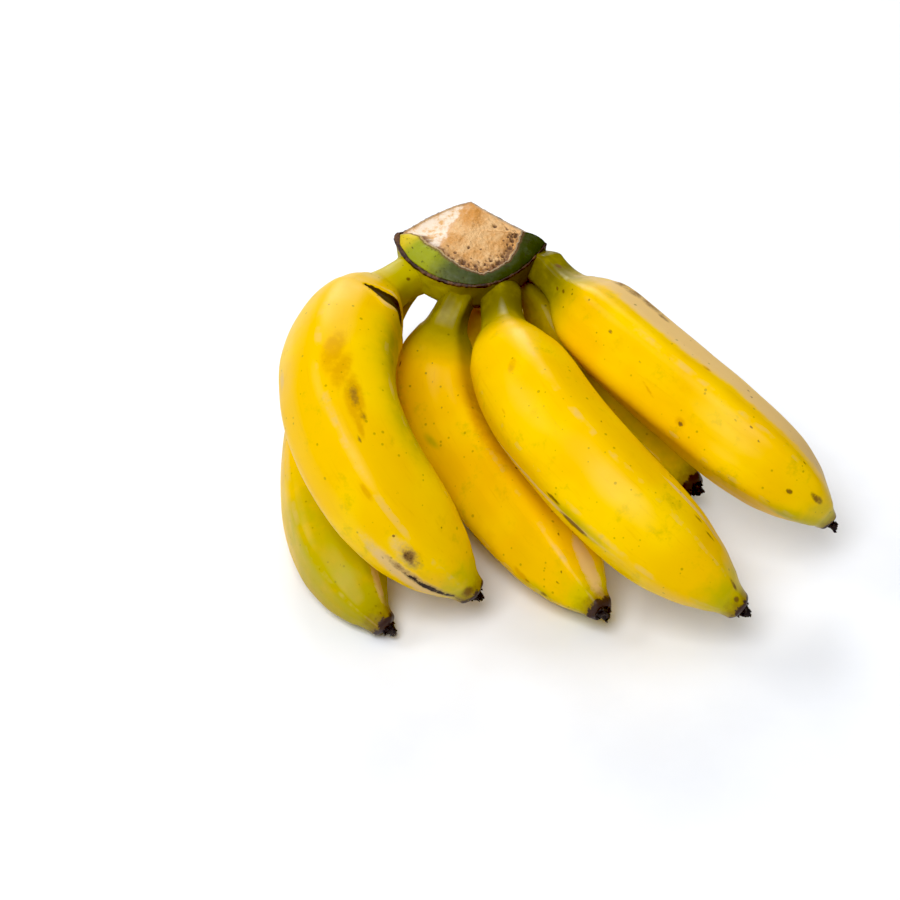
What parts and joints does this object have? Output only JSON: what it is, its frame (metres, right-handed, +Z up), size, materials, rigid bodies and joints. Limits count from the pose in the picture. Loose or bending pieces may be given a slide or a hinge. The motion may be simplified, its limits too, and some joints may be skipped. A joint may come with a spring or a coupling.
{
  "type": "hand of bananas",
  "caption": "Hand of short dessert bananas joined at a cut crown, front fingers fanned over a lower back row, lying on a flat surface.",
  "frame": {"origin": "on the surface that the hand lies on, under the middle of its footprint", "axes": "+Z up, crown towards +Y, blossom ends towards -Y, the fan of fingers spreading to +X"},
  "size_m": [0.1667, 0.1454, 0.073],
  "materials": {
    "banana_skin": "satin, slightly waxy ripe peel with fine flecks and a few brown bruises",
    "crown_skin": "green skin round a dry, corky tan cut",
    "dried_blossom": "dry, ragged, nearly black"
  },
  "bodies": {
    "root": {"crown": "crown_skin", "finger_front_1": "banana_skin", "finger_front_2": "banana_skin", "finger_front_3": "banana_skin", "finger_front_4": "banana_skin", "finger_back_1": "banana_skin", "finger_back_2": "banana_skin", "finger_back_3": "banana_skin", "blossom_end_front_1": "dried_blossom", "blossom_end_front_2": "dried_blossom", "blossom_end_front_3": "dried_blossom", "blossom_end_front_4": "dried_blossom", "blossom_end_back_1": "dried_blossom", "blossom_end_back_2": "dried_blossom", "blossom_end_back_3": "dried_blossom"}
  },
  "joints": []
}
